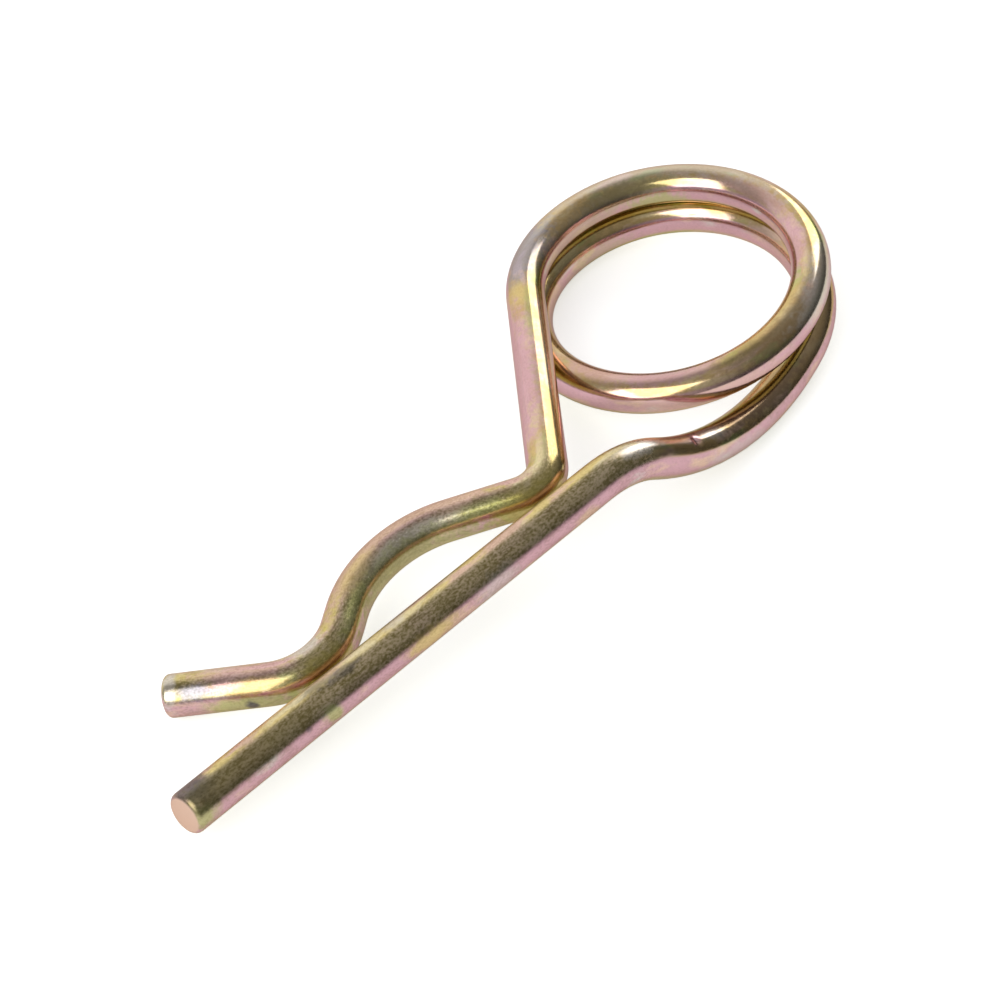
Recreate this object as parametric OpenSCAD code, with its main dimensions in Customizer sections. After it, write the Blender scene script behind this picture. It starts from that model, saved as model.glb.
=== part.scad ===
// Hitch R-clip pin, double-coil pattern.
// One length of round spring wire, bent cold: a straight leg that goes through the cross hole of
// a hitch pin, a crank, a coil of about one and a half turns, and a wavy sprung leg that snaps
// over the outside of the hitch pin. Every bend is a true arc and every run between is straight.
//
// The wire is first laid out in the legs' own plane: X runs from the straight leg's tip towards
// the coil, Y points from the straight leg to the sprung leg, Z stands off the plane. The whole
// clip is then laid down the way it comes to rest: floor at z = 0, origin at the middle of its
// footprint, straight leg along X in plan.

/* [Wire] */
// Diameter of the spring wire
wire_d = 4; // [3.2:0.1:4.4]
// Rounding on the rim of both cropped ends
end_round = 0.5; // [0.2:0.1:1.2]

/* [Straight leg] */
// Length of the straight leg, from its tip to where the crank starts
shank_l = 48.5; // [46:0.5:70]

/* [Crank] */
// Drop from the straight leg's axis to the corner of the crank's foot
crank_drop = 10.8; // [10.2:0.1:12]
// Slope of the crank against the straight leg
crank_angle = 39.5; // [36:0.5:42]
// Bend radius at the top of the crank, on the wire's axis
crank_top_r = 10; // [8:0.5:12]
// Straight stretch of wire left before and after the bend at the crank's foot, at the least
foot_straight = 0.5; // [0.3:0.1:2]
// Depth of the nick that the bending tool leaves inside the crank's foot
nick_depth = 0.1; // [0.1:0.05:0.4]
// Radius of the tool's edge, which the nick is a print of
nick_r = 2; // [0.6:0.1:2.4]
// Place of the nick along the foot's bend, as a share of its turn
nick_at = 0.18; // [0.12:0.02:0.6]
// Angle of the nick round the wire, from the inside of the bend to the clip's outer side
nick_turn = 45; // [0:5:60]

/* [Coil] */
// Inside diameter of the coil
coil_d = 25; // [22:0.5:30]
// Air between neighbouring turns
coil_gap = 0.25; // [0.25:0.05:0.6]
// Run from the corner of the crank's foot to the coil's centre, along the straight leg
coil_run = 8.3; // [7:0.1:12]
// Distance from the straight leg's line to the near side of the coil, on the wire's axis
coil_offset = 3.2; // [2:0.1:5]
// Rise from the corner of the crank's foot to the start of the coil
lead_rise = 2.5; // [2:0.1:3.2]

/* [Sprung leg] */
// Diameter of the hitch pin that the crest clips over
pin_d = 16; // [13:0.5:18]
// Distance from the straight leg's tip to the middle of the crest
crest_x = 31; // [30:0.5:33]
// Bend radius of the crest, on the wire's axis
crest_r = 12; // [9:0.5:13]
// Slope of the wire between the crest and the heel, the bend nearer the coil
heel_slope = 28.5; // [25:0.5:34]
// Bend radius of the heel, on the wire's axis
heel_r = 3.5; // [3:0.5:5]
// Slope of the wire between the crest and the toe, the bend nearer the tip
toe_slope = 38.5; // [34:0.5:39]
// Bend radius of the toe, on the wire's axis
toe_r = 6.5; // [4:0.5:7]
// Rise from the end of the coil to the heel
leg_rise = 0.6; // [0.6:0.1:1.2]
// Air between the two legs at the heel and at the toe
leg_gap = 0.9; // [0.2:0.1:1.5]
// Length of the straight flare beyond the toe
flare_l = 9.5; // [6:0.5:14]
// Angle between the flare and the straight leg
flare_angle = 42; // [30:1:55]

/* [Hidden] */
$fn = 64;
plating = [0.74, 0.64, 0.42];
// Equal arcs that make up the coil, each in its own tilted plane
COIL_ARCS = 8;
// Slices of each bend that the rest position is reckoned from
SLICES = 24;
// Shortest straight run worth drawing between two bends
SHORT = 0.01;
// Every second piece of the wire is this much thinner and reaches this far into its neighbours,
// so that the pieces cross in clean circles
HAIR = 0.02;
LAP = 0.1;
// Corners on the rounded rim of an end
RIM_STEPS = 5;
// Places of the crank's two bends among the corners of the path
CRANK_TOP = 1;
CRANK_FOOT = 2;
wire_r = wire_d / 2;
coil_r = (coil_d + wire_d) / 2;
coil_pitch = wire_d + coil_gap;
leg_pitch = wire_d + leg_gap;

// ---- Plan of the path: circles joined by their common tangents ----
// A circle is [centre, signed radius]: positive where the wire turns left, negative where right.
function unit(v) = v / norm(v);
function heading(a, b) =
    let (d = b[0] - a[0]) atan2(d.y, d.x) + asin((a[1] - b[1]) / norm(d));
function ahead(h) = [cos(h), sin(h)];
function side(h) = [sin(h), -cos(h)];
function corner(c, h_in, h_out) = c[0] + c[1] / cos((h_out - h_in) / 2) * side((h_in + h_out) / 2);
// The same heading, brought to within half a turn of another
function near(h, ref) = h - 360 * round((h - ref) / 360);

crank_x = shank_l + crank_top_r * tan(crank_angle / 2);
foot_x = crank_x + crank_drop / tan(crank_angle);
foot = [[foot_x, 0], 0];
coil = [[foot_x + coil_run, coil_r + coil_offset], coil_r];

// The sprung leg lies level from the heel on, at the height it has climbed to there, and at the
// heel and the toe its axis stands leg_pitch away from the straight leg's axis.
crest_y = (pin_d + wire_d) / 2;
function low_y(z) = sqrt(leg_pitch^2 - z^2);
// Way along X from the middle of the crest to a low bend of radius r, down a slope
function run_down(r, slope, z) = (crest_r + r) * sin(slope)
    + (crest_y - low_y(z) - (crest_r + r) * (1 - cos(slope))) / tan(slope);
function heel(z) = [[crest_x + run_down(heel_r, heel_slope, z), low_y(z) + heel_r], -heel_r];
function toe(z) = [[crest_x - run_down(toe_r, toe_slope, z), low_y(z) + toe_r], -toe_r];
function sweep_to(z) = 360 + (heading(coil, heel(z)) - heading(foot, coil) + 720) % 360;
function coil_level(t) = lead_rise - crank_drop + coil_pitch * t / 360;
function leg_level(z) = coil_level(sweep_to(z)) + leg_rise;
leg_z = leg_level(leg_level(leg_level(0)));
crest = [[crest_x, crest_y - crest_r], crest_r];

h_lead = heading(foot, coil);
coil_sweep = sweep_to(leg_z);
h_leg = h_lead + coil_sweep;
h_heel = near(heading(heel(leg_z), crest), h_leg);
h_toe = near(heading(crest, toe(leg_z)), h_heel);
h_flare = near(180 - flare_angle, h_toe);
toe_end = toe(leg_z)[0] - toe_r * side(h_flare);

// ---- Corners of the path in space, each with its bend radius ----
coil_step = coil_sweep / COIL_ARCS;
coil_corner_r = coil_r / cos(coil_step / 2);
coil_corners = [for (i = [0:COIL_ARCS - 1]) let (t = (i + 0.5) * coil_step)
    concat(coil[0] + coil_corner_r * side(h_lead + t), coil_level(t))];
sprung_corners = [for (p = [corner(heel(leg_z), h_leg, h_heel), corner(crest, h_heel, h_toe),
    corner(toe(leg_z), h_toe, h_flare), toe_end + flare_l * ahead(h_flare)]) concat(p, leg_z)];
corners = concat([[0, 0, 0], [crank_x, 0, 0], [foot_x, 0, -crank_drop]], coil_corners, sprung_corners);
last = len(corners) - 1;
// Each arc of the coil takes up half a chord on both sides of its corner, so the arcs meet end to end
half_chord = norm(coil_corners[1] - coil_corners[0]) / 2;
function along(i) = unit(corners[i + 1] - corners[i]);
function turn(i) = acos(along(i - 1) * along(i));
// The crank's foot bends as softly as the slope before it and the lead after it allow
slope_left = norm(corners[CRANK_FOOT] - corners[CRANK_TOP]) - crank_top_r * tan(turn(CRANK_TOP) / 2);
lead_left = norm(corners[CRANK_FOOT + 1] - corners[CRANK_FOOT]) - half_chord;
crank_foot_r = (min(slope_left, lead_left) - foot_straight) / tan(turn(CRANK_FOOT) / 2);
bend_radii = concat([crank_top_r, crank_foot_r], [for (c = coil_corners) 0], [heel_r, crest_r, toe_r]);
// Wire taken up on each side of a corner
function trim(i) =
    i == 0 || i == last ? 0 :
    bend_radii[i - 1] == 0 ? half_chord : bend_radii[i - 1] * tan(turn(i) / 2);
function entry(i) = corners[i] - trim(i) * along(i - 1);
function exit(i) = corners[i] + trim(i) * along(i);
function bend_r(i) = trim(i) / tan(turn(i) / 2);
// Direction from a bend's entry to the centre of its arc
function inward(i) = unit(along(i) - along(i - 1) * (along(i) * along(i - 1)));

// ---- Rest position ----
// Slices of the wire as [point on its axis, direction]
function slice(i, a) = let (r = bend_r(i), u = along(i - 1), w = inward(i))
    [entry(i) + r * (1 - cos(a)) * w + r * sin(a) * u, cos(a) * u + sin(a) * w];
slices = concat([[corners[0], along(0)]],
    [for (i = [1:last - 1], k = [0:SLICES]) slice(i, turn(i) * k / SLICES)],
    [[corners[last], along(last - 1)]]);
runs = [for (i = [1:len(slices) - 1]) norm(slices[i][0] - slices[i - 1][0])];
function total(v, i = 0) = i == len(v) - 1 ? v[i] : v[i] + total(v, i + 1);
moments = [for (i = [0:len(runs) - 1]) runs[i] * (slices[i][0] + slices[i + 1][0]) / 2];
balance = total(moments) / total(runs);

// The three slices that touch the floor are the corners of the lowest triangle under the centre
// of gravity. A triangle far above everything is let down: the slice that lies deepest below it
// takes the place of one corner, until no slice lies below.
function up(t) = let (n = unit(cross(t[1] - t[0], t[2] - t[0]))) n.z < 0 ? -n : n;
function above(t, p) = (p - t[0]) * up(t);
function cross_z(a, b) = a.x * b.y - a.y * b.x;
function holds(t) = let (s = [for (i = [0:2]) cross_z(t[i] - balance, t[(i + 1) % 3] - balance)])
    min(s) >= 0 || max(s) <= 0;
function swapped(t, p) =
    [for (k = [0:2]) let (s = [for (i = [0:2]) i == k ? p : t[i]]) if (holds(s)) s][0];
function let_down(t) = let (h = [for (s = slices) above(t, s[0])], deepest = min(h))
    deepest > -0.001 ? t : let_down(swapped(t, slices[search(deepest, h)[0]][0]));
FAR = 1000;
feet = let_down([for (a = [0, 120, 240]) balance + concat(FAR * ahead(a), FAR)]);

tilt_axis = cross(up(feet), [0, 0, 1]);
tilt = acos(up(feet).z);
function tilted(v) = let (k = unit(tilt_axis))
    v * cos(tilt) + cross(k, v) * sin(tilt) + k * (k * v) * (1 - cos(tilt));
leg_dir = tilted([1, 0, 0]);
yaw = -atan2(leg_dir.y, leg_dir.x);
function laid(v) = let (p = tilted(v))
    [p.x * cos(yaw) - p.y * sin(yaw), p.x * sin(yaw) + p.y * cos(yaw), p.z];
// Reach of the wire's surface along a row axis, both ways
function reach(k) = [for (s = slices)
    let (p = laid(s[0])[k], u = laid(s[1])[k], r = wire_r * sqrt(1 - u * u))
    each [p - r, p + r]];
function middle(k) = (min(reach(k)) + max(reach(k))) / 2;
floor_z = laid(feet[0]).z - wire_r;

module lay_down() {
    translate([-middle(0), -middle(1), -floor_z])
        rotate([0, 0, yaw])
            rotate(a = tilt, v = tilt_axis)
                children();
}

// ---- Wire ----
module aimed_along(u) {
    rotate([0, acos(u.z), atan2(u.y, u.x)])
        children();
}

// Half the section of a straight run: its start is square, or rounded where the wire is cropped
function square_start(r) = [[r, 0]];
function rounded_start(r) = [for (k = [0:RIM_STEPS]) let (a = 90 * k / RIM_STEPS)
    [r - end_round * (1 - sin(a)), end_round * (1 - cos(a))]];
function run_outline(l, r, cropped) =
    concat([[0, 0]], cropped ? rounded_start(r) : square_start(r), [[r, l], [0, l]]);

// Straight run of wire from point a to point b
module run(a, b, r, lap, cropped) {
    u = unit(b - a);
    start = cropped ? a : a - lap * u;
    translate(start)
        aimed_along(u)
            rotate_extrude()
                polygon(run_outline(norm(b - start) + lap, r, cropped));
}

// Arc of wire at a corner of the path
module bend(i, r, lap) {
    u = along(i - 1);
    w = inward(i);
    n = cross(u, w);
    c = entry(i) + bend_r(i) * w;
    lap_angle = lap / bend_r(i) * 180 / PI;
    multmatrix([[-w.x, u.x, n.x, c.x], [-w.y, u.y, n.y, c.y], [-w.z, u.z, n.z, c.z], [0, 0, 0, 1]])
        rotate([0, 0, -lap_angle])
            rotate_extrude(angle = turn(i) + 2 * lap_angle)
                translate([bend_r(i), 0])
                    circle(r = r);
}

// Pieces of the wire in order: the run that leads up to each corner, then the bend there
pieces = [for (i = [1:last]) each [
    if (norm(entry(i) - exit(i - 1)) > SHORT) ["run", i],
    if (i < last) ["bend", i]]];

module piece(kind, i, r, lap) {
    if (kind == "bend")
        bend(i, r, lap);
    else if (i == last)
        run(corners[last], exit(i - 1), r, lap, true);
    else
        run(exit(i - 1), entry(i), r, lap, i == 1);
}

// Nick inside the crank's foot, where the wire was bent over the tool's edge
module tool_nick() {
    spot = slice(CRANK_FOOT, nick_at * turn(CRANK_FOOT));
    across = unit(cross(spot[1], inward(CRANK_FOOT)));
    inner = cross(across, spot[1]);
    outward = cos(nick_turn) * inner + sin(nick_turn) * across;
    translate(spot[0] + (wire_r - nick_depth + nick_r) * outward)
        aimed_along(cross(outward, spot[1]))
            cylinder(h = wire_d, r = nick_r, center = true);
}

module r_clip() {
    color(plating)
        lay_down()
            difference() {
                for (k = [0:len(pieces) - 1]) let (thin = k % 2)
                    piece(pieces[k][0], pieces[k][1], wire_r - HAIR * thin, LAP * thin);
                tool_nick();
            }
}

r_clip();
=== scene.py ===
"""Dresses the hitch R-clip pin: its bent, plated spring wire and the stage that it lies on.

The wire is bent again as a bender would: a round section is pushed along its straight runs and
turned through its bends, in the legs' own plane, and the finished clip is then laid down on
three points, the way it comes to rest. Lengths are in metres and angles in radians.
"""

from functools import reduce
from math import acos, asin, atan2, ceil, cos, pi, radians, sin, sqrt, tan

import bmesh
import bpy
from bpy.props import FloatProperty, FloatVectorProperty, PointerProperty
from bpy.types import Operator, Panel, PropertyGroup
from mathutils import Matrix, Vector


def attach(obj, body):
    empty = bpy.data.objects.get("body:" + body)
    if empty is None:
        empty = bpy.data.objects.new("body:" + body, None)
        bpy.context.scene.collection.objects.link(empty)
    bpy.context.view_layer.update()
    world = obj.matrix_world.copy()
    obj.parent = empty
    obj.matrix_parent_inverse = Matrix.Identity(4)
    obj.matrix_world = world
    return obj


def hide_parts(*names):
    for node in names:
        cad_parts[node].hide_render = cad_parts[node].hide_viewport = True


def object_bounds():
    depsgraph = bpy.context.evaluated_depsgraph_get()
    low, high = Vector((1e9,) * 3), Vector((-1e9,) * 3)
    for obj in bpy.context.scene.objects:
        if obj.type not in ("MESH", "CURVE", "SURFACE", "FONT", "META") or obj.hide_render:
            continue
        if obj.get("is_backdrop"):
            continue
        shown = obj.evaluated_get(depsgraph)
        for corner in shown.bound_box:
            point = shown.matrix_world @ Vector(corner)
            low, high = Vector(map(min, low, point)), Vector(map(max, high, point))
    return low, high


bl_info = {
    "name": "Hitch R-clip pin",
    "version": (1, 0, 0),
    "blender": (4, 5, 0),
    "location": "3D View > Sidebar > R-Clip",
    "description": "Bends and plates a spring-wire R-clip and lights it on a white stage",
    "category": "Object",
}

MM = 0.001

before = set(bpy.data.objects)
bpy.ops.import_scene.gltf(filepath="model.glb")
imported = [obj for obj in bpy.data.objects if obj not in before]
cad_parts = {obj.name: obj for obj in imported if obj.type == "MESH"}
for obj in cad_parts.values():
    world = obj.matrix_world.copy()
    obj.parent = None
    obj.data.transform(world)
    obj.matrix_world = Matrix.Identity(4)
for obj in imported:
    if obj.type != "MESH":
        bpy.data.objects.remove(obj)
CAD_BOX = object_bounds()


def length(name, description, millimetres):
    """A size property, given in millimetres and kept in metres."""
    return FloatProperty(
        name=name, description=description, default=millimetres * MM, min=0, unit="LENGTH"
    )


def angle(name, description, degrees):
    """An angle property, given in degrees and kept in radians."""
    return FloatProperty(
        name=name, description=description, default=radians(degrees), unit="ROTATION"
    )


def colour(name, description, rgb):
    """A colour property."""
    return FloatVectorProperty(
        name=name, description=description, default=rgb, min=0, max=1, subtype="COLOR"
    )


def number(name, description, amount):
    """A plain number property."""
    return FloatProperty(name=name, description=description, default=amount)


def towards(name, description, way):
    """A direction property."""
    return FloatVectorProperty(
        name=name, description=description, default=way, subtype="DIRECTION"
    )


class RClipWire(PropertyGroup):
    """The bends of the wire, as the clip's construction gives them."""

    wire_d: length("Wire diameter", "Diameter of the spring wire", 4)
    end_round: length("End rounding", "Rounding on the rim of both cropped ends", 0.5)
    shank_l: length("Straight leg", "From the tip to where the crank starts", 48.5)
    crank_drop: length("Crank drop", "From the straight leg to the corner of the crank's foot", 10.8)
    crank_angle: angle("Crank slope", "Slope of the crank against the straight leg", 39.5)
    crank_top_r: length("Crank top bend", "Bend radius at the top of the crank", 10)
    foot_straight: length("Foot straight", "Straight wire left beside the foot's bend", 0.5)
    coil_d: length("Coil inside diameter", "Inside diameter of the coil", 25)
    coil_gap: length("Coil gap", "Air between neighbouring turns", 0.25)
    coil_run: length("Coil run", "From the corner of the crank's foot to the coil's centre", 8.3)
    coil_offset: length("Coil offset", "From the straight leg's line to the near side of the coil", 3.2)
    lead_rise: length("Lead rise", "Rise from the crank's foot to the start of the coil", 2.5)
    pin_d: length("Hitch pin diameter", "Diameter of the pin that the crest clips over", 16)
    crest_x: length("Crest place", "From the straight leg's tip to the crest", 31)
    crest_r: length("Crest bend", "Bend radius of the crest", 12)
    heel_slope: angle("Heel slope", "Slope of the wire between the crest and the heel", 28.5)
    heel_r: length("Heel bend", "Bend radius of the heel", 3.5)
    toe_slope: angle("Toe slope", "Slope of the wire between the crest and the toe", 38.5)
    toe_r: length("Toe bend", "Bend radius of the toe", 6.5)
    leg_rise: length("Leg rise", "Rise from the end of the coil to the heel", 0.6)
    leg_gap: length("Leg gap", "Air between the two legs at the heel and at the toe", 0.9)
    flare_l: length("Flare", "Length of the straight flare beyond the toe", 9.5)
    flare_angle: angle("Flare angle", "Angle between the flare and the straight leg", 42)


class RClipNick(PropertyGroup):
    """The print that the bending tool leaves inside the crank's foot."""

    depth: length("Depth", "Depth of the nick", 0.1)
    tool_r: length("Tool edge", "Radius of the tool's edge", 2)
    at: number("Place", "Share of the foot's bend before it", 0.18)
    turn: angle("Turn", "Angle round the wire, from the inside of the bend outwards", 45)


class RClipCrop(PropertyGroup):
    """The slant that the cropping shears leave on the straight leg's tip."""

    slant: angle("Slant", "Lean of the cropped face against a square cut", 17)
    turn: angle("Turn", "Way the face leans, from the top towards the leg's near side", 34)


class RClipPlating(PropertyGroup):
    """Colours of the yellow zinc plating, among them a painted floor reflection and painted highlights
    and shade, and how smooth it is.
    """

    gold: colour("Gold", "Upper side of the legs", (0.80, 0.64, 0.28))
    rose: colour("Rose", "Upper side of the coil", (0.63, 0.44, 0.20))
    moss: colour("Moss", "Upper side of the sprung leg", (0.66, 0.55, 0.18))
    cream: colour("Cream", "Pale clouds on the upper side", (0.84, 0.73, 0.46))
    peach: colour("Peach", "Warm clouds, stains and the cropped faces", (0.80, 0.56, 0.43))
    # Pink: a painted reflection of the floor on the lower side, and pink stains
    pink: colour("Pink", "Lower side of the wire", (0.70, 0.42, 0.46))
    # Silver: stains and clouds where the tint is thin, and painted highlights and reflections
    silver_tone_and_highlight: colour("Silver", "Stains where the tint is thin", (0.72, 0.66, 0.60))
    olive: colour("Olive", "Dark grain on the rubbed side", (0.27, 0.22, 0.09))
    mauve: colour("Mauve", "Light grain on the rubbed side", (0.58, 0.46, 0.31))
    green: colour("Green", "Yellow-green clouds and stains", (0.50, 0.52, 0.20))
    yellow: colour("Yellow", "Yellow stains", (0.74, 0.57, 0.24))
    amber: colour("Amber", "Golden-brown stains in the tight bends", (0.46, 0.38, 0.11))
    # Umber: dark brown stains, and painted shade that dims a highlight on the crank
    umber_stain_and_shade: colour("Umber", "Dark brown stains", (0.28, 0.19, 0.12))
    steel: colour("Steel", "Blue-grey stains", (0.34, 0.34, 0.42))
    slate: colour("Slate", "Dark smudges", (0.13, 0.12, 0.13))
    dull: colour("Dulling", "Tint of the faint grain all over", (0.80, 0.78, 0.74))
    edge: colour("Edge tint", "Tint of the wire's edges as they turn away", (0.72, 0.62, 0.58))
    rubbed_side: towards("Rubbed side", "Way that the rubbed side faces", (0, -0.47, 0.88))
    cloud_length: length("Cloud length", "Length of the colour clouds along the wire", 6)
    cloud_width: length("Cloud width", "Width of the colour clouds round the wire", 2)
    grain_size: length("Grain", "Size of the grain", 0.2)
    grain_depth: length("Grain depth", "Depth of the grain", 0.006)
    leg_roughness: number("Leg roughness", "Roughness of the straight leg", 0.32)
    sprung_roughness: number("Sprung leg roughness", "Roughness of the sprung leg", 0.23)
    coil_roughness: number("Coil roughness", "Roughness of the coil", 0.16)


class RClipStudio(PropertyGroup):
    """Camera and lights."""

    target: FloatVectorProperty(
        name="Target",
        description="Point on the floor that the camera looks at",
        default=(0.00002, -0.00441, 0),
        subtype="XYZ_LENGTH",
    )
    azimuth: angle("Azimuth", "Camera's place round the clip, from the -Y side towards +X", -36.6)
    elevation: angle("Elevation", "Camera's height above the floor", 47.02)
    roll: angle("Roll", "Camera's turn about its own axis", 5.82)
    distance: length("Distance", "From the camera to the target", 215.14)
    lens: FloatProperty(name="Lens", description="Focal length", default=79.55, unit="CAMERA")
    floor_size: length("Floor", "Side of the square floor", 6000)
    floor_colour: colour("Floor colour", "Colour of the floor", (0.8, 0.8, 0.8))
    floor_glow: number("Floor glow", "White the floor adds to the eye", 0.6)
    mirrored_glow: number("Mirrored glow", "White the floor adds in the wire's reflections", 0.3)
    pale_side: towards("Pale side", "Way to the pale side of the room", (0.2, 1, 0.1))
    pale_room: colour("Pale side of the room", "Light from the room beyond the clip", (1.0, 1.0, 1.0))
    dark_side: towards("Dark side", "Way to the dark side of the room", (0.64, -0.77, 0))
    dark_room: colour(
        "Dark side of the room", "Light from the room behind the camera", (0.06, 0.06, 0.06)
    )
    ceiling: colour("Ceiling", "Light from above and from the sides", (0.40, 0.40, 0.40))


class RClipSoftbox(PropertyGroup):
    """A lamp behind a sheet of white cloth."""

    azimuth: angle("Azimuth", "Place round the clip, from the -Y side towards +X", 0)
    elevation: angle("Elevation", "Height above the floor", 40)
    distance: length("Distance", "From the clip to the lamp", 800)
    width: length("Width", "Width of the cloth", 600)
    height: length("Height", "Height of the cloth", 600)
    glow: number("Glow", "Brightness of the cloth, where 1 is white", 2.6)


# ---- Path of the wire -------------------------------------------------------------------

# Arcs that the coil is bent in, and the corner of the path that is the crank's foot
COIL_ARCS = 8
CRANK_FOOT = 2
# Times that the sprung leg's level is worked out, each from the one before
RISE_ROUNDS = 3


def ahead(heading):
    """Unit vector along a heading in the legs' plane."""
    return Vector((cos(heading), sin(heading)))


def side(heading):
    """Unit vector to the right of a heading."""
    return Vector((sin(heading), -cos(heading)))


class Circle:
    """Circle that the wire follows in plan: positive radius where it turns left."""

    def __init__(self, x, y, radius):
        self.centre = Vector((x, y))
        self.radius = radius

    def heading_to(self, other):
        """Heading of the common tangent that leaves this circle for another."""
        apart = other.centre - self.centre
        return atan2(apart.y, apart.x) + asin((self.radius - other.radius) / apart.length)

    def corner(self, heading_in, heading_out):
        """Corner of the bend that this circle rounds."""
        reach = self.radius / cos((heading_out - heading_in) / 2)
        return self.centre + reach * side((heading_in + heading_out) / 2)


def near(heading, reference):
    """The same heading, within half a turn of another."""
    return heading - 2 * pi * round((heading - reference) / (2 * pi))


def wire_corners(w):
    """Corners of the path in space with their bend radii; None marks an arc of the coil."""
    coil_r = (w.coil_d + w.wire_d) / 2
    coil_pitch = w.wire_d + w.coil_gap
    leg_pitch = w.wire_d + w.leg_gap
    crest_y = (w.pin_d + w.wire_d) / 2
    crank_x = w.shank_l + w.crank_top_r * tan(w.crank_angle / 2)
    foot_x = crank_x + w.crank_drop / tan(w.crank_angle)
    foot = Circle(foot_x, 0, 0)
    coil = Circle(foot_x + w.coil_run, coil_r + w.coil_offset, coil_r)
    crest = Circle(w.crest_x, crest_y - w.crest_r, w.crest_r)

    def low_bend(r, slope, way, z):
        low_y = sqrt(leg_pitch**2 - z**2)
        straight_drop = crest_y - low_y - (w.crest_r + r) * (1 - cos(slope))
        run = (w.crest_r + r) * sin(slope) + straight_drop / tan(slope)
        return Circle(w.crest_x + way * run, low_y + r, -r)

    def sweep_to(heel):
        return 2 * pi + (coil.heading_to(heel) - foot.heading_to(coil)) % (2 * pi)

    def coil_level(turned):
        return w.lead_rise - w.crank_drop + coil_pitch * turned / (2 * pi)

    leg_z = 0
    for _ in range(RISE_ROUNDS):
        leg_z = coil_level(sweep_to(low_bend(w.heel_r, w.heel_slope, 1, leg_z))) + w.leg_rise
    heel = low_bend(w.heel_r, w.heel_slope, 1, leg_z)
    toe = low_bend(w.toe_r, w.toe_slope, -1, leg_z)

    h_lead = foot.heading_to(coil)
    coil_sweep = sweep_to(heel)
    h_leg = h_lead + coil_sweep
    h_heel = near(heel.heading_to(crest), h_leg)
    h_toe = near(crest.heading_to(toe), h_heel)
    h_flare = near(pi - w.flare_angle, h_toe)
    toe_end = toe.centre + toe.radius * side(h_flare)

    coil_step = coil_sweep / COIL_ARCS
    corners = [
        (Vector((0, 0, 0)), 0),
        (Vector((crank_x, 0, 0)), w.crank_top_r),
        (Vector((foot_x, 0, -w.crank_drop)), 0),
    ]
    for i in range(COIL_ARCS):
        turned = (i + 0.5) * coil_step
        place = coil.centre + coil_r / cos(coil_step / 2) * side(h_lead + turned)
        corners.append((place.to_3d() + Vector((0, 0, coil_level(turned))), None))
    level = Vector((0, 0, leg_z))
    corners.append((heel.corner(h_leg, h_heel).to_3d() + level, w.heel_r))
    corners.append((crest.corner(h_heel, h_toe).to_3d() + level, w.crest_r))
    corners.append((toe.corner(h_toe, h_flare).to_3d() + level, w.toe_r))
    corners.append(((toe_end + w.flare_l * ahead(h_flare)).to_3d() + level, 0))
    return corners


class Bend:
    """Arc at a corner of the path: where it starts, its centre, axis, turn and radius."""

    def __init__(self, before, corner, after, trim):
        self.u = (corner - before).normalized()
        self.v = (after - corner).normalized()
        self.turn = acos(self.u.dot(self.v))
        self.radius = trim / tan(self.turn / 2)
        self.start = corner - trim * self.u
        self.end = corner + trim * self.v
        self.inward = (self.v - self.u * self.u.dot(self.v)).normalized()
        self.axis = self.u.cross(self.inward)
        self.centre = self.start + self.radius * self.inward

    def slice(self, share):
        """Point on the wire's axis and direction there, at a share of the turn."""
        a = share * self.turn
        direction = cos(a) * self.u + sin(a) * self.inward
        return self.centre - self.radius * self.inward_at(share), direction

    def inward_at(self, share):
        """Direction from the wire's axis to the centre, at a share of the turn."""
        a = share * self.turn
        return cos(a) * self.inward - sin(a) * self.u


def wire_bends(w):
    """Tip, bends in order and flare end of the wire's axis, in the legs' plane."""
    corners = wire_corners(w)
    places = [place for place, _ in corners]
    half_chord = (places[CRANK_FOOT + 2] - places[CRANK_FOOT + 1]).length / 2

    def turn_at(i):
        return (places[i] - places[i - 1]).angle(places[i + 1] - places[i])

    slope = places[CRANK_FOOT] - places[CRANK_FOOT - 1]
    slope_left = slope.length - w.crank_top_r * tan(turn_at(CRANK_FOOT - 1) / 2)
    lead_left = (places[CRANK_FOOT + 1] - places[CRANK_FOOT]).length - half_chord
    foot_trim = min(slope_left, lead_left) - w.foot_straight
    bends = []
    for i in range(1, len(corners) - 1):
        radius = corners[i][1]
        trim = half_chord if radius is None else radius * tan(turn_at(i) / 2)
        if i == CRANK_FOOT:
            trim = foot_trim
        bends.append(Bend(places[i - 1], places[i], places[i + 1], trim))
    return places[0], bends, places[-1]


# ---- Rest position ----------------------------------------------------------------------

# Slices of each bend that may touch the floor
SLICES = 24
# Height that the feet are let down from, and how near a slice comes to count as touching, in metres
FAR = 1.0
TOUCH = 1e-6


def axis_slices(w):
    """Points on the wire's axis with the direction there."""
    tip, bends, end = wire_bends(w)
    slices = [(tip, bends[0].u)]
    for bend in bends:
        slices += [bend.slice(k / SLICES) for k in range(SLICES + 1)]
    return slices + [(end, bends[-1].v)]


def balance_point(slices):
    """Centre of gravity of the wire."""
    runs = [(b[0] - a[0]).length for a, b in zip(slices, slices[1:])]
    middles = [(a[0] + b[0]) / 2 for a, b in zip(slices, slices[1:])]
    moments = [run * middle for run, middle in zip(runs, middles)]
    return reduce(lambda a, b: a + b, moments) / sum(runs)


def up_of(feet):
    """Upward normal of the triangle of feet."""
    normal = (feet[1] - feet[0]).cross(feet[2] - feet[0]).normalized()
    return normal if normal.z > 0 else -normal


def holds(feet, balance):
    """Whether the centre of gravity is over the triangle of feet."""
    arms = [(foot - balance).to_2d() for foot in feet]
    sides = [arms[i].cross(arms[(i + 1) % 3]) for i in range(3)]
    return min(sides) >= 0 or max(sides) <= 0


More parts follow.
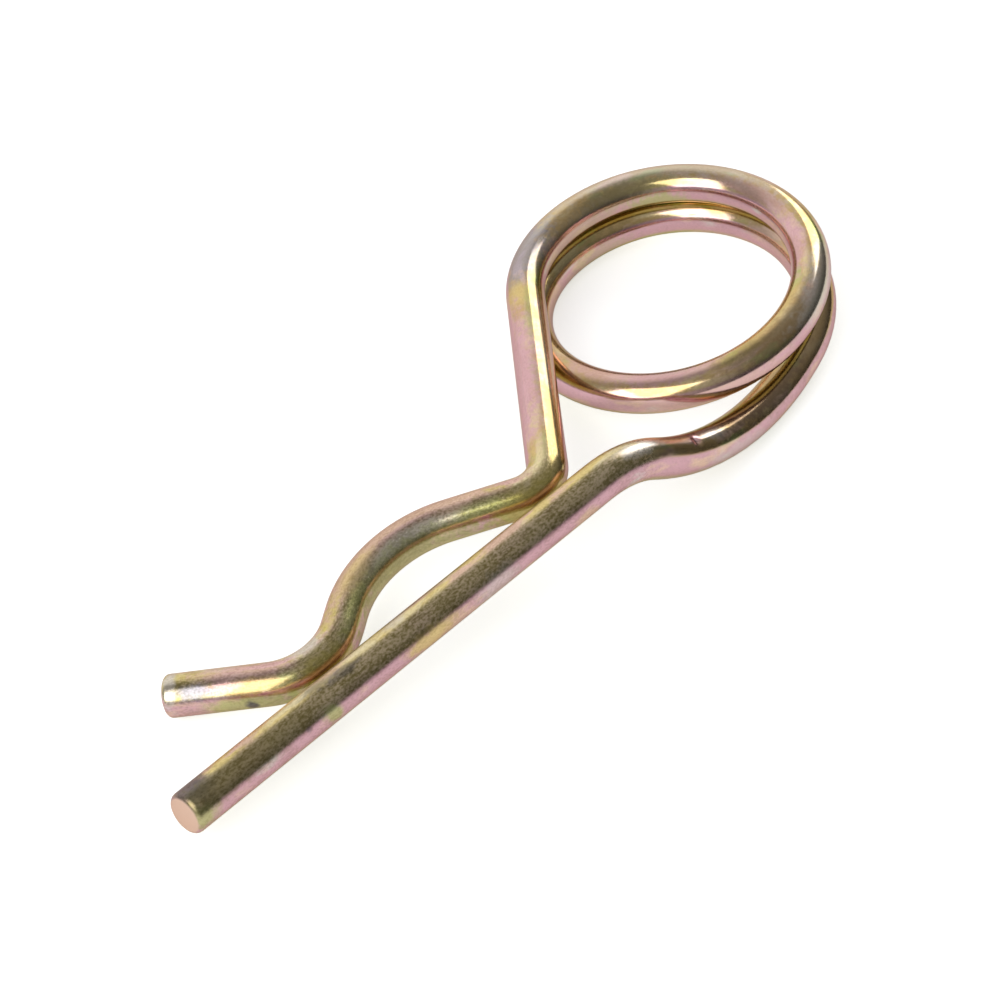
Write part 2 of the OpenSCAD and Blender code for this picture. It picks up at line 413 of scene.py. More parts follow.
def feet_of(slices):
    """Lets a high triangle down until no slice of the wire is below it."""
    balance = balance_point(slices)
    feet = [balance + FAR * Vector((cos(a), sin(a), 1)) for a in (0, 2 * pi / 3, 4 * pi / 3)]
    while True:
        up = up_of(feet)
        deepest = min((point for point, _ in slices), key=lambda p: (p - feet[0]).dot(up))
        if (deepest - feet[0]).dot(up) > -TOUCH:
            return feet
        trials = [[deepest if i == k else feet[i] for i in range(3)] for k in range(3)]
        feet = next(trial for trial in trials if holds(trial, balance))


def rest_matrix(w):
    """Places the clip on the floor, its footprint about the origin, straight leg along X."""
    slices = axis_slices(w)
    feet = feet_of(slices)
    tilt = up_of(feet).rotation_difference(Vector((0, 0, 1))).to_matrix()
    leg = tilt @ Vector((1, 0, 0))
    laid = Matrix.Rotation(-atan2(leg.y, leg.x), 3, "Z") @ tilt
    wire_r = w.wire_d / 2
    shift = []
    for k in range(2):
        reach = []
        for point, direction in slices:
            radius = wire_r * sqrt(1 - (laid @ direction)[k] ** 2)
            reach += [(laid @ point)[k] - radius, (laid @ point)[k] + radius]
        shift.append(-(min(reach) + max(reach)) / 2)
    shift.append(wire_r - (laid @ feet[0]).z)
    return Matrix.Translation(shift) @ laid.to_4x4()


# ---- Bending the wire -------------------------------------------------------------------

# Points round the wire, and steps in a rounded rim
ROUND = 64
RIM_STEPS = 5
# Longest steps of the bender, its finer step at the nick, and the shortest run that it pushes
BEND_STEP = radians(4)
LONGEST_STEP = 2 * MM
FINE_STEP = 0.1 * MM
SHORTEST_RUN = 0.01 * MM
# Attribute that holds each vertex's place on the straight wire
DRAWN = "drawn"


class WireBender:
    """Pushes a round section along runs and through bends, and notes each vertex's place on
    the straight wire: x along it from the tip, y and z across it."""

    def __init__(self, wire_d):
        self.bm = bmesh.new()
        self.drawn = self.bm.verts.layers.float_vector.new(DRAWN)
        turned = Matrix.Rotation(pi / 2, 4, "Y")
        made = bmesh.ops.create_circle(
            self.bm, cap_ends=False, segments=ROUND, radius=wire_d / 2, matrix=turned
        )
        self.ring = made["verts"]
        self.laid = Matrix.Identity(4)
        self.mark()

    def edges(self):
        """Edges of the open end, each once and in the same order every time."""
        ring = set(self.ring)
        found = dict.fromkeys(e for v in self.ring for e in v.link_edges)
        return [e for e in found if set(e.verts) <= ring and len(e.link_faces) < 2]

    def mark(self, verts=None):
        """Notes where vertices are on the straight wire."""
        back = self.laid.inverted()
        for v in self.ring if verts is None else verts:
            v[self.drawn] = back @ v.co

    def push(self, run, step=LONGEST_STEP):
        """Extrudes the open end straight on."""
        if run < SHORTEST_RUN:
            return
        steps = max(1, ceil(run / step))
        forward = self.laid.to_3x3() @ Vector((run / steps, 0, 0))
        for _ in range(steps):
            made = bmesh.ops.extrude_edge_only(self.bm, edges=self.edges())
            self.ring = [v for v in made["geom"] if isinstance(v, bmesh.types.BMVert)]
            bmesh.ops.translate(self.bm, verts=self.ring, vec=forward)
            self.mark()

    def turn(self, bend, share=1.0, step=LONGEST_STEP):
        """Spins the open end through a share of a bend, and counts the wire that it takes up."""
        swept = share * bend.turn
        steps = max(1, ceil(max(swept / BEND_STEP, swept * bend.radius / step)))
        part = swept / steps
        about = Matrix.Translation(bend.centre)
        turning = about @ Matrix.Rotation(part, 4, bend.axis) @ about.inverted()
        wire_used = Matrix.Translation((-part * bend.radius, 0, 0))
        for _ in range(steps):
            made = bmesh.ops.spin(
                self.bm,
                geom=self.ring + self.edges(),
                cent=bend.centre,
                axis=bend.axis,
                angle=part,
                steps=1,
                use_duplicate=False,
            )
            self.ring = [v for v in made["geom_last"] if isinstance(v, bmesh.types.BMVert)]
            self.laid = turning @ self.laid @ wire_used
            self.mark()

    def close_end(self):
        """Caps the open end."""
        bmesh.ops.edgeloop_fill(self.bm, edges=self.edges())

    def round_rim(self, ring, end_round):
        """Rounds the rim of a cropped end, and notes the new vertices' places."""
        rim_set = set(ring)
        rim = [e for e in self.bm.edges if set(e.verts) <= rim_set]
        made = bmesh.ops.bevel(
            self.bm,
            geom=rim,
            offset=end_round,
            segments=RIM_STEPS,
            profile=0.5,
            affect="EDGES",
            material=-1,
        )
        self.mark(made["verts"])


def press_nick(bender, bend, nick, wire_d):
    """Presses the tool's round edge into the wire inside a bend."""
    spot, along = bend.slice(nick.at)
    across = along.cross(bend.inward_at(nick.at))
    outward = cos(nick.turn) * across.cross(along) + sin(nick.turn) * across
    tool_axis = outward.cross(along)
    centre = spot + (wire_d / 2 - nick.depth + nick.tool_r) * outward
    for v in bender.bm.verts:
        from_tool = v.co - centre
        if from_tool.length > 2 * nick.tool_r + wire_d / 2:
            continue
        radial = from_tool - tool_axis * from_tool.dot(tool_axis)
        if radial.length < nick.tool_r:
            v.co += radial.normalized() * (nick.tool_r - radial.length)


def slanted(crop):
    """Shear that cuts the leaning side of a tip back and leaves the other side longer."""
    lean = Matrix.Identity(4)
    lean[0][1] = -tan(crop.slant) * sin(crop.turn)
    lean[0][2] = tan(crop.slant) * cos(crop.turn)
    return lean


def sort_faces(bm):
    """Puts the faces in the order of their vertices, because Blender's own order varies."""
    bm.verts.index_update()
    in_order = sorted(bm.faces, key=lambda face: sorted(v.index for v in face.verts))
    ranks = {face: rank for rank, face in enumerate(in_order)}
    bm.faces.sort(key=ranks.get)


def bent_wire(w, nick, crop):
    """The whole wire in the legs' plane, with both ends cropped and rounded."""
    tip, bends, end = wire_bends(w)
    bender = WireBender(w.wire_d)
    tip_ring = bender.ring
    bender.close_end()
    at = tip
    for i, bend in enumerate(bends, start=1):
        bender.push((bend.start - at).length)
        if i == CRANK_FOOT:
            nicked = 2 * nick.tool_r / (bend.radius * bend.turn)
            bender.turn(bend, nick.at - nicked / 2)
            bender.turn(bend, nicked, FINE_STEP)
            bender.turn(bend, 1 - nick.at - nicked / 2)
        else:
            bender.turn(bend)
        at = bend.end
    bender.push((end - at).length)
    flare_ring = bender.ring
    bender.close_end()
    bender.round_rim(flare_ring, w.end_round)
    bender.laid = Matrix.Identity(4)
    bmesh.ops.transform(bender.bm, matrix=slanted(crop), verts=tip_ring)
    bender.round_rim(tip_ring, w.end_round)
    press_nick(bender, bends[CRANK_FOOT - 1], nick, w.wire_d)
    bmesh.ops.recalc_face_normals(bender.bm, faces=bender.bm.faces)
    for face in bender.bm.faces:
        face.smooth = True
    sort_faces(bender.bm)
    return bender.bm


# ---- Shader nodes -----------------------------------------------------------------------


class NodeBench:
    """Short ways to add shader nodes and wire them up."""

    def __init__(self, tree):
        self.tree = tree
        tree.nodes.clear()

    def add(self, kind, inputs=None, **settings):
        """Adds a node with its settings, and feeds its inputs with values or outputs."""
        node = self.tree.nodes.new(kind)
        for name, value in settings.items():
            setattr(node, name, value)
        for key, value in (inputs or {}).items():
            self.feed(node.inputs[key], value)
        return node

    def feed(self, socket, value):
        """Links an output to a socket, or sets its value; a colour is made opaque."""
        if isinstance(value, bpy.types.NodeSocket):
            self.tree.links.new(value, socket)
        elif socket.type == "RGBA":
            socket.default_value = (*value, 1)
        else:
            socket.default_value = value

    def math(self, operation, *values):
        """A Math node's result."""
        return self.add("ShaderNodeMath", dict(enumerate(values)), operation=operation).outputs[0]

    def less(self, share, amount, whole=1.0):
        """A whole that loses an amount where a share is 1."""
        return self.math("MULTIPLY_ADD", share, -amount, whole)

    def centred(self, level, spread):
        """A level between 0 and 1, widened to a spread about 0."""
        return self.math("MULTIPLY_ADD", level, spread, -spread / 2)

    def vector(self, operation, *values):
        """A Vector Math node's result."""
        node = self.add("ShaderNodeVectorMath", dict(enumerate(values)), operation=operation)
        return node.outputs["Value" if operation in ("LENGTH", "DOT_PRODUCT") else "Vector"]

    def mix(self, factor, first, second, blend="MIX"):
        """Two colours mixed."""
        node = self.add("ShaderNodeMix", data_type="RGBA", blend_type=blend)
        sockets = [socket for socket in node.inputs if socket.enabled]
        for socket, value in zip(sockets, (factor, first, second)):
            self.feed(socket, value)
        return next(socket for socket in node.outputs if socket.enabled)

    def smooth(self, value, low, high):
        """A value eased from 0 at low to 1 at high."""
        inputs = {"Value": value, "From Min": low, "From Max": high}
        node = self.add("ShaderNodeMapRange", inputs, interpolation_type="SMOOTHSTEP")
        return node.outputs["Result"]

    def facing(self, direction, way, span):
        """How much a direction faces a way, eased over a span of the cosine between them."""
        cosine = self.vector("DOT_PRODUCT", direction, Vector(way).normalized())
        return self.smooth(cosine, *span)

    def noise(self, place, scale, detail=2.0, roughness=0.5):
        """Smooth noise between 0 and 1."""
        inputs = {"Vector": place, "Scale": scale, "Detail": detail, "Roughness": roughness}
        return self.add("ShaderNodeTexNoise", inputs).outputs[0]


def new_material(name):
    """An empty material, with the bench for its nodes."""
    material = bpy.data.materials.new(name)
    material.use_nodes = True
    return material, NodeBench(material.node_tree)


# ---- Plating ----------------------------------------------------------------------------

# Where the crank gives way to the coil, and the coil to the sprung leg, in millimetres from the tip
CRANK_SPAN = (50, 58)
HEEL_SPAN = (248, 258)
# How steeply a surface faces up, or faces the rubbed side, where each side of the wire sets in; the
# lower side's pink is a painted reflection of the floor, edged by a painted horizon line
FLOOR_REFLECTION_SPAN = (0.6, 0.46)
UNDER_SPAN = (-0.2, -0.55)
RUBBED_SPAN = (0.76, 0.9)
# Levels of the clouds' noise that each tone sets in over, on the upper side and then on the lower
CREAM_SPAN = (0.48, 0.64)
PEACH_SPAN = (0.52, 0.62)
GREEN_SPAN = (0.54, 0.66)
LOW_PEACH_SPAN = (0.52, 0.66)
LOW_SILVER_SPAN = (0.60, 0.75)
CLOUD_DETAIL = 3.0
# Share of green on the underside
UNDER_GREEN = 0.6

# Grain: drawn out along the wire, denser in some patches of a cloud than in others
GRAIN_STRETCH = (0.65, 1.0, 1.0)
GRAIN_DETAIL = 3.0
GRAIN_BREAKUP = 0.55
PATCHES_TO_CLOUD = 2.5
PATCHINESS = 0.5
# Levels of the grain that the light grain, and the faint dulling, set in over
LIGHT_SPAN = (0.30, 0.70)
DULL_SPAN = (0.62, 0.30)
# Strength of the rubbed side on the legs, and what the coil loses of each layer
RUBBED = 0.9
COIL_LESS_CREAM = 0.5
COIL_LESS_RUBBED = 0.85
COIL_LESS_DULL = 0.6
COIL_LESS_BUMP = 0.85
GRAIN_IN_ROUGHNESS = 0.2
# Ring of a cropped face where its own colour sets in, in radii of the wire
FACE_SPAN = (0.92, 0.80)

# Edge of a stain, in half-sizes of the stain, and how far and how finely it is frayed
STAIN_SPAN = (1.35, 0.45)
FRAY = 1.4
FRAY_SCALE = 1.2
FRAY_DETAIL = 3.0
FRAY_BREAKUP = 0.6

# Stains, and among them painted highlights, painted reflections and painted shade: place along the wire
# in millimetres, angle round it in degrees (0 on top of the straight leg, growing towards its near
# side), length, width, colour and strength
STAINS = (
    # Straight leg
    (1.0, 78, 1.6, 1.2, "green", 0.8),
    (1.6, 345, 2.0, 2.0, "slate", 0.85),
    (2.6, 12, 1.6, 1.2, "slate", 0.5),
    # Darker olive over the top of the straight leg towards its tip
    (5.0, 32, 9.0, 1.4, "olive", 0.6),
    (12.7, 68, 0.3, 0.3, "slate", 0.5),
    (15.4, 80, 1.0, 1.0, "green", 0.8),
    (16.0, 348, 2.2, 0.6, "slate", 0.6),
    (17.5, 322, 2.0, 1.1, "peach", 0.6),
    (18.3, 4, 2.0, 0.6, "slate", 0.6),
    (24.8, 325, 1.4, 1.2, "silver_tone_and_highlight", 0.6),
    (26.5, 86, 3.0, 1.1, "yellow", 0.85),
    (34.5, 90, 2.5, 1.4, "silver_tone_and_highlight", 0.5),
    (43.0, 315, 3.6, 0.7, "amber", 0.5),
    # Crank
    # Painted highlight: pale patch under the highlight on the crank's top bend
    (52.8, 15, 2.2, 0.8, "silver_tone_and_highlight", 0.9),
    (60.2, 14, 0.9, 0.9, "pink", 0.9),
    # Painted highlight: pale patch under the highlight just past the nick
    (63.2, 12, 2.0, 0.8, "silver_tone_and_highlight", 0.9),
    # Painted shade: dark brown that dims the highlight further along the crank's foot
    (72.0, 12, 8.0, 1.3, "umber_stain_and_shade", 1.0),
    (66.0, 100, 5.0, 1.2, "silver_tone_and_highlight", 0.4),
    (74.0, 325, 7.0, 1.8, "rose", 0.7),
    (80.0, 25, 13.0, 1.6, "umber_stain_and_shade", 0.5),
    # Coil
    (97.0, 300, 4.0, 1.2, "peach", 0.6),
    (100.0, 258, 9.0, 1.4, "pink", 0.6),
    (121.0, 258, 5.0, 1.5, "green", 0.35),
    (126.0, 328, 9.0, 1.0, "olive", 0.5),
    (134.0, 265, 7.0, 2.0, "peach", 0.7),
    (152.0, 355, 9.0, 1.5, "pink", 0.55),
    (160.0, 110, 8.0, 1.6, "peach", 0.5),
    (157.0, 10, 6.0, 1.0, "pink", 0.6),
    (164.0, 18, 3.0, 0.8, "amber", 0.6),
    (170.0, 345, 6.0, 1.0, "yellow", 0.6),
    (169.0, 42, 8.0, 1.4, "umber_stain_and_shade", 0.6),
    (176.0, 70, 6.0, 1.5, "silver_tone_and_highlight", 0.7),
    (181.0, 325, 5.5, 1.6, "pink", 0.8),
    (191.0, 350, 7.0, 0.9, "pink", 0.6),
    # Painted reflection: pale patch where the coil's top mirrors the pale side of the room
    (202.0, 32, 15.0, 1.3, "silver_tone_and_highlight", 0.5),
    (203.0, 268, 4.0, 1.3, "green", 0.75),
    (207.0, 330, 6.0, 1.3, "green", 0.6),
    (208.0, 338, 6.0, 0.9, "umber_stain_and_shade", 0.6),
    (215.0, 290, 8.0, 1.8, "mauve", 0.6),
    (221.5, 40, 5.5, 2.2, "steel", 0.7),
    # Sprung leg
    (228.0, 35, 1.8, 1.8, "yellow", 0.8),
    (231.0, 8, 4.0, 0.6, "green", 0.6),
    (236.0, 305, 9.0, 1.6, "peach", 0.7),
    (240.0, 60, 10.0, 1.8, "pink", 0.9),
    (256.0, 305, 4.0, 2.4, "amber", 0.9),
    (268.0, 45, 13.0, 1.7, "pink", 0.6),
    (262.0, 30, 2.5, 1.4, "peach", 0.6),
    (260.0, 342, 3.0, 0.9, "green", 0.6),
    # Painted highlight: pale band along the crest
    (268.0, 342, 6.0, 0.9, "silver_tone_and_highlight", 0.7),
    (278.0, 340, 3.5, 0.9, "green", 0.6),
    (270.0, 285, 11.0, 2.2, "green", 0.75),
    (270.0, 315, 9.0, 0.6, "olive", 0.5),
    (274.0, 20, 3.0, 1.0, "yellow", 0.6),
    # Painted highlight: pale spot near the toe
    (283.5, 45, 2.2, 1.0, "silver_tone_and_highlight", 0.8),
    (283.5, 300, 3.0, 2.4, "amber", 0.9),
    (287.0, 345, 1.5, 0.8, "green", 0.6),
    (290.0, 30, 5.0, 1.3, "pink", 0.6),
    (290.0, 285, 5.0, 1.4, "green", 0.8),
    (289.5, 343, 3.0, 0.8, "rose", 0.9),
    (292.0, 350, 1.8, 0.6, "pink", 0.6),
    (295.5, 275, 2.0, 1.6, "pink", 0.7),
    (289.6, 284, 0.6, 0.7, "slate", 0.9),
    (294.6, 345, 2.0, 0.8, "steel", 0.75),
    # Painted highlight: pale rim on the flare's cropped end
    (297.0, 15, 0.7, 2.4, "silver_tone_and_highlight", 0.8),
)


class Plater:
    """Lays the plating's colours on, layer by layer, by a point's place on the wire."""

    def __init__(self, bench, plating, wire_d):
        self.bench = bench
        self.plating = plating
        self.wire_r = wire_d / 2 / MM
        drawn = bench.add("ShaderNodeAttribute", attribute_name=DRAWN).outputs["Vector"]
        self.place = bench.vector("MULTIPLY", drawn, (1 / MM,) * 3)
        along = bench.add("ShaderNodeSeparateXYZ", {0: self.place}).outputs["X"]
        self.normal = bench.add("ShaderNodeTexCoord").outputs["Normal"]
        self.up = bench.add("ShaderNodeSeparateXYZ", {0: self.normal}).outputs["Z"]
        past_crank = bench.smooth(along, *CRANK_SPAN)
        before_heel = bench.smooth(along, *reversed(HEEL_SPAN))
        self.coil = bench.math("MULTIPLY", past_crank, before_heel)
        self.sprung = bench.smooth(along, *HEEL_SPAN)
        stretch = (MM / plating.cloud_length, MM / plating.cloud_width, MM / plating.cloud_width)
        self.clouds = bench.vector("MULTIPLY", self.place, stretch)

    def clouded(self):
        """The upper side, and the lower side whose pink paints the floor's reflection, each with its
        clouds of colour along the wire.
        """
        bench, tints = self.bench, self.plating
        inputs = {"Vector": self.clouds, "Scale": 1.0, "Detail": CLOUD_DETAIL}
        noise = bench.add("ShaderNodeTexNoise", inputs).outputs["Color"]
        tone = bench.add("ShaderNodeSeparateColor", {0: noise}).outputs
        upper = bench.mix(self.coil, tints.gold, tints.rose)
        upper = bench.mix(self.sprung, upper, tints.moss)
        paling = bench.smooth(tone[0], *CREAM_SPAN)
        paling = bench.math("MULTIPLY", paling, bench.less(self.coil, COIL_LESS_CREAM))
        upper = bench.mix(paling, upper, tints.cream)
        upper = bench.mix(bench.smooth(tone[1], *PEACH_SPAN), upper, tints.peach)
        greening = bench.math("MULTIPLY", self.coil, bench.smooth(tone[2], *GREEN_SPAN))
        upper = bench.mix(greening, upper, tints.green)
        # Lower side: pink that paints the floor's reflection, with peach and pale clouds; the steep
        # underside takes green over the upper side's colour
        lower = bench.mix(bench.smooth(tone[2], *LOW_PEACH_SPAN), tints.pink, tints.peach)
        lower = bench.mix(bench.smooth(tone[0], *LOW_SILVER_SPAN), lower, tints.silver_tone_and_highlight)
        beneath = bench.mix(UNDER_GREEN, upper, tints.green)
        return upper, bench.mix(bench.smooth(self.up, *UNDER_SPAN), lower, beneath)

    def grained(self):
        """The fine grain of drawn wire, even all over, and denser in patches."""
        bench = self.bench
        drawn_out = bench.vector("MULTIPLY", self.place, GRAIN_STRETCH)
        grain = bench.noise(drawn_out, MM / self.plating.grain_size, GRAIN_DETAIL, GRAIN_BREAKUP)
        patches = bench.noise(self.clouds, PATCHES_TO_CLOUD)
        return grain, bench.math("ADD", grain, bench.centred(patches, PATCHINESS))

    def rubbed(self, upper, mottle):
        """The upper side with dark and light grain where it is rubbed."""
        bench, tints = self.bench, self.plating
        speckle = bench.mix(bench.smooth(mottle, *LIGHT_SPAN), tints.olive, tints.mauve)
        share = bench.facing(self.normal, tints.rubbed_side, RUBBED_SPAN)
        share = bench.math("MULTIPLY", share, bench.less(self.coil, COIL_LESS_RUBBED, RUBBED))
        return bench.mix(share, upper, speckle)

    def stained(self, plate):
        """The plating with its stains, and the painted highlights, reflections and shade among them,
        each with a frayed edge.
        """
        bench = self.bench
        fray = bench.noise(self.place, FRAY_SCALE, FRAY_DETAIL, FRAY_BREAKUP)
        fray = bench.centred(fray, FRAY)
        for along, around, long, wide, name, strength in STAINS:
            a = radians(around)
            centre = (along, -self.wire_r * sin(a), self.wire_r * cos(a))
            away = bench.vector("SUBTRACT", self.place, centre)
            reach = bench.vector("LENGTH", bench.vector("DIVIDE", away, (long, wide, wide)))
            edge = bench.smooth(bench.math("ADD", reach, fray), *STAIN_SPAN)
            cover = bench.math("MULTIPLY", edge, strength)
            plate = bench.mix(cover, plate, getattr(self.plating, name))
        return plate

    def dulled(self, plate, mottle):
        """The plating with its fainter grain all over."""
        bench = self.bench
        dull = bench.mix(1.0, plate, self.plating.dull, "MULTIPLY")
        faint = bench.smooth(mottle, *DULL_SPAN)
        faint = bench.math("MULTIPLY", faint, bench.less(self.coil, COIL_LESS_DULL))
        return bench.mix(faint, plate, dull)

    def cropped(self, plate):
        """The plating with the colour of the cropped faces inside their rims."""
        bench = self.bench
        across = bench.vector("LENGTH", bench.vector("MULTIPLY", self.place, (0.0, 1.0, 1.0)))
        inside = bench.smooth(across, *(ring * self.wire_r for ring in FACE_SPAN))
        return bench.mix(inside, plate, self.plating.peach)

    def roughness(self, grain):
        """Roughness: the straight leg's, eased into the coil's and the sprung leg's."""
        bench, tints = self.bench, self.plating
        on_leg = tints.leg_roughness
        rough = bench.math("MULTIPLY_ADD", self.coil, tints.coil_roughness - on_leg, on_leg)
        smoother = bench.math("MULTIPLY", self.sprung, tints.sprung_roughness - on_leg)
        rough = bench.math("ADD", rough, smoother)
        return bench.math("ADD", rough, bench.centred(grain, GRAIN_IN_ROUGHNESS))

    def bump(self, grain):
        """Relief of the grain, shallower on the coil."""
        height = self.bench.math("MULTIPLY", grain, self.bench.less(self.coil, COIL_LESS_BUMP))
        inputs = {"Strength": 1.0, "Distance": self.plating.grain_depth, "Height": height}
        return self.bench.add("ShaderNodeBump", inputs).outputs[0]


def plated_wire(plating, wire_d):
    """Yellow zinc plating on drawn spring wire, with a painted floor reflection on its lower side and
    painted highlights and shade among its stains.
    """
    material, bench = new_material("plated_wire")
    plater = Plater(bench, plating, wire_d)
    upper, lower = plater.clouded()
    grain, mottle = plater.grained()
    upper = plater.rubbed(upper, mottle)
    # The lower side takes the pink that paints the floor's reflection, along a painted horizon line
    plate = bench.mix(bench.smooth(plater.up, *FLOOR_REFLECTION_SPAN), upper, lower)
    plate = plater.stained(plate)
    plate = plater.dulled(plate, mottle)
    plate = plater.cropped(plate)
    shader = bench.add(
        "ShaderNodeBsdfPrincipled",
        {
            "Base Color": plate,
            "Metallic": 1.0,
            "Roughness": plater.roughness(grain),
            "Specular Tint": plating.edge,
            "Normal": plater.bump(grain),
        },
    )
    bench.add("ShaderNodeOutputMaterial", {"Surface": shader.outputs[0]})
    return material


# ---- Operators --------------------------------------------------------------------------

NODE = "r_clip"
# Most that a corner of the wire's box may be off the construction's
CLOSE_TO_CAD = 0.5 * MM


def new_object(name, data):
    """A new object in the scene."""
    made = bpy.data.objects.new(name, data)
    bpy.context.scene.collection.objects.link(made)
    return made


def new_shape(name, bm):
    """A new object in the scene that takes over a finished bmesh."""
    mesh = bpy.data.meshes.new(name)
    bm.to_mesh(mesh)
    bm.free()
    return new_object(name, mesh)


class RCLIP_OT_bend_wire(Operator):
    """Bends the wire, lays it down and plates it"""

    bl_idname = "rclip.bend_wire"
    bl_label = "Bend the wire"

    def execute(self, context):
        scene = context.scene
        bm = bent_wire(scene.rclip_wire, scene.rclip_nick, scene.rclip_crop)
        bmesh.ops.transform(bm, matrix=rest_matrix(scene.rclip_wire), verts=bm.verts)
        wire = new_shape("spring_wire", bm)
        wire.data.materials.append(plated_wire(scene.rclip_plating, scene.rclip_wire.wire_d))
        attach(wire, "root")
        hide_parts(NODE)
        lowest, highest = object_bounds()
        off = max((lowest - CAD_BOX[0]).length, (highest - CAD_BOX[1]).length)
        if off > CLOSE_TO_CAD:
            raise RuntimeError(f"the wire is {off / MM:.3f} mm off the construction's box")
        return {"FINISHED"}


# ---- Stage ------------------------------------------------------------------------------

# How much a direction faces the pale or the dark side where each sets in
PALE_SPAN = (0.45, 0.9)
DARK_SPAN = (0.0, 0.75)
# Heights that the dark side fades over, and how much of it is gone at the top
FADING_SPAN = (0.0, 0.8)
FADING = 0.7
WHITE = (1, 1, 1)
# The camera's nearest sight, as a share of its distance
NEAREST = 1 / 20


def direction_from(azimuth, elevation):
    """Unit vector from the clip: azimuth 0 is the -Y side and grows towards +X."""
    level = cos(elevation)
    return Vector((level * sin(azimuth), -level * cos(azimuth), sin(elevation)))


def white_floor(studio):
    """A wide white floor that still shows the clip's shadow."""
    bm = bmesh.new()
    bmesh.ops.create_grid(bm, x_segments=1, y_segments=1, size=studio.floor_size / 2)
    floor = new_shape("floor", bm)
    floor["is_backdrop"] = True
    material, bench = new_material("white_floor")
    rays = bench.add("ShaderNodeLightPath")
    to_eye = bench.math("MULTIPLY", rays.outputs["Is Camera Ray"], studio.floor_glow)
    to_wire = bench.math("MULTIPLY", rays.outputs["Is Glossy Ray"], studio.mirrored_glow)
    matt = bench.add("ShaderNodeBsdfDiffuse", {"Color": studio.floor_colour})
    glow = bench.add("ShaderNodeEmission", {"Strength": bench.math("ADD", to_eye, to_wire)})
    both = bench.add("ShaderNodeAddShader", {0: matt.outputs[0], 1: glow.outputs[0]})
    bench.add("ShaderNodeOutputMaterial", {"Surface": both.outputs[0]})
    floor.data.materials.append(material)


def studio_world(studio):
    """A room that is pale beyond the clip and dark on the camera's side, and white to the camera."""
    world = bpy.data.worlds.new("studio")
    world.use_nodes = True
    bench = NodeBench(world.node_tree)
    rays = bench.add("ShaderNodeLightPath")
    direction = bench.add("ShaderNodeTexCoord").outputs["Generated"]
    paleness = bench.facing(direction, studio.pale_side, PALE_SPAN)
    darkness = bench.facing(direction, studio.dark_side, DARK_SPAN)
    height = bench.add("ShaderNodeSeparateXYZ", {0: direction}).outputs["Z"]
    fading = bench.less(bench.smooth(height, *FADING_SPAN), FADING)
    darkness = bench.math("MULTIPLY", darkness, fading)
    room = bench.mix(darkness, studio.ceiling, studio.dark_room)
    room = bench.mix(paleness, room, studio.pale_room)
    shown = bench.mix(rays.outputs["Is Camera Ray"], room, WHITE)
    background = bench.add("ShaderNodeBackground", {"Color": shown, "Strength": 1})
    bench.add("ShaderNodeOutputWorld", {"Surface": background.outputs[0]})
    bpy.context.scene.world = world


def softbox(name, studio_light):
    """A rectangular lamp that faces the clip."""
    data = bpy.data.lights.new(name, "AREA")
    data.shape = "RECTANGLE"
    data.size = studio_light.width
    data.size_y = studio_light.height
    data.energy = studio_light.glow * pi * studio_light.width * studio_light.height
    lamp = new_object(name, data)
    away = direction_from(studio_light.azimuth, studio_light.elevation)
    turned = away.to_track_quat("Z", "Y").to_matrix().to_4x4()
    lamp.matrix_world = Matrix.Translation(studio_light.distance * away) @ turned
    lamp.visible_camera = False


def set_camera(studio):
    """Camera that looks down on the clip from beside its straight leg's tip."""
    camera = new_object("camera", bpy.data.cameras.new("camera"))
    camera.data.lens = studio.lens
    camera.data.clip_start = studio.distance * NEAREST
    back = direction_from(studio.azimuth, studio.elevation)
    turned = back.to_track_quat("Z", "Y").to_matrix() @ Matrix.Rotation(-studio.roll, 3, "Z")
    place = Vector(studio.target) + studio.distance * back
    camera.matrix_world = Matrix.Translation(place) @ turned.to_4x4()
    bpy.context.scene.camera = camera


class RCLIP_OT_set_stage(Operator):
    """Sets the floor, the lights and the camera"""

    bl_idname = "rclip.set_stage"
    bl_label = "Set the stage"

    def execute(self, context):
        scene = context.scene
        studio = scene.rclip_studio
        white_floor(studio)
        studio_world(studio)
        softbox("left_softbox", scene.rclip_left_softbox)
        softbox("far_softbox", scene.rclip_far_softbox)
        set_camera(studio)
        scene.view_settings.view_transform = "Standard"
        return {"FINISHED"}


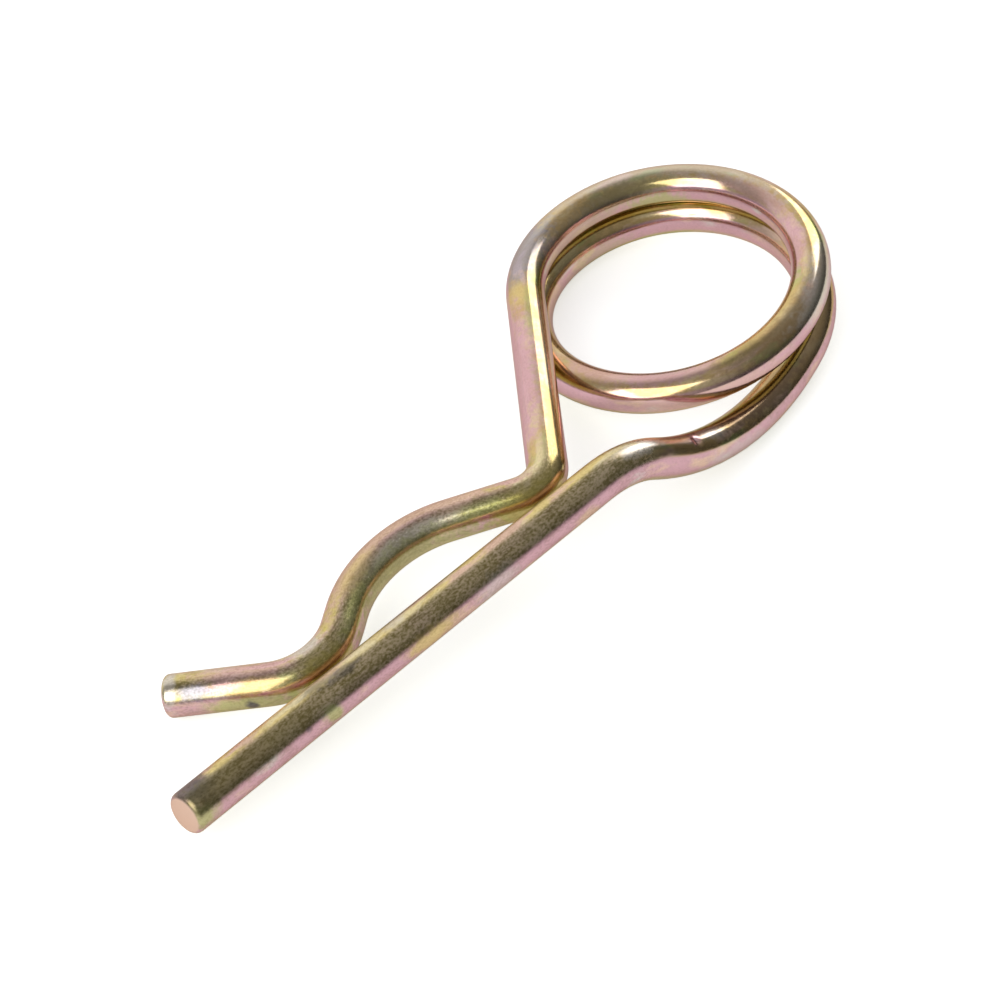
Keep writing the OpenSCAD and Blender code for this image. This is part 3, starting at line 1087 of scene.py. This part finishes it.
class RCLIP_PT_panel(Panel):
    """Lists the clip's sizes and the buttons that make it"""

    bl_label = "R-clip pin"
    bl_space_type = "VIEW_3D"
    bl_region_type = "UI"
    bl_category = "R-Clip"

    def draw(self, context):
        scene = context.scene
        for setting in SETTINGS:
            group = getattr(scene, setting)
            box = self.layout.box()
            for name in group.bl_rna.properties.keys():
                if name not in ("rna_type", "name"):
                    box.prop(group, name)
        self.layout.operator(RCLIP_OT_bend_wire.bl_idname)
        self.layout.operator(RCLIP_OT_set_stage.bl_idname)


# Property groups by the name that each has on the scene
SETTINGS = {
    "rclip_wire": RClipWire,
    "rclip_nick": RClipNick,
    "rclip_crop": RClipCrop,
    "rclip_plating": RClipPlating,
    "rclip_studio": RClipStudio,
    "rclip_left_softbox": RClipSoftbox,
    "rclip_far_softbox": RClipSoftbox,
}
CLASSES = (
    RClipWire,
    RClipNick,
    RClipCrop,
    RClipPlating,
    RClipStudio,
    RClipSoftbox,
    RCLIP_OT_bend_wire,
    RCLIP_OT_set_stage,
    RCLIP_PT_panel,
)
# Softboxes: azimuth and elevation in degrees, width and height in millimetres
SOFTBOXES = {
    "rclip_left_softbox": (-78, 40, 600, 700),
    "rclip_far_softbox": (112, 30, 350, 450),
}


def register():
    """Registers the classes and hangs the settings on the scene."""
    for cls in CLASSES:
        bpy.utils.register_class(cls)
    for setting, group in SETTINGS.items():
        setattr(bpy.types.Scene, setting, PointerProperty(type=group))


def unregister():
    """Takes it all back."""
    for setting in reversed(SETTINGS):
        delattr(bpy.types.Scene, setting)
    for cls in reversed(CLASSES):
        bpy.utils.unregister_class(cls)


def place_softboxes(scene):
    """Gives each softbox its own place and size."""
    for setting, (azimuth, elevation, width, height) in SOFTBOXES.items():
        box = getattr(scene, setting)
        box.azimuth = radians(azimuth)
        box.elevation = radians(elevation)
        box.width = width * MM
        box.height = height * MM


def main():
    """Makes the clip and its stage."""
    register()
    place_softboxes(bpy.context.scene)
    bpy.ops.rclip.bend_wire()
    bpy.ops.rclip.set_stage()


if __name__ == "__main__":
    main()
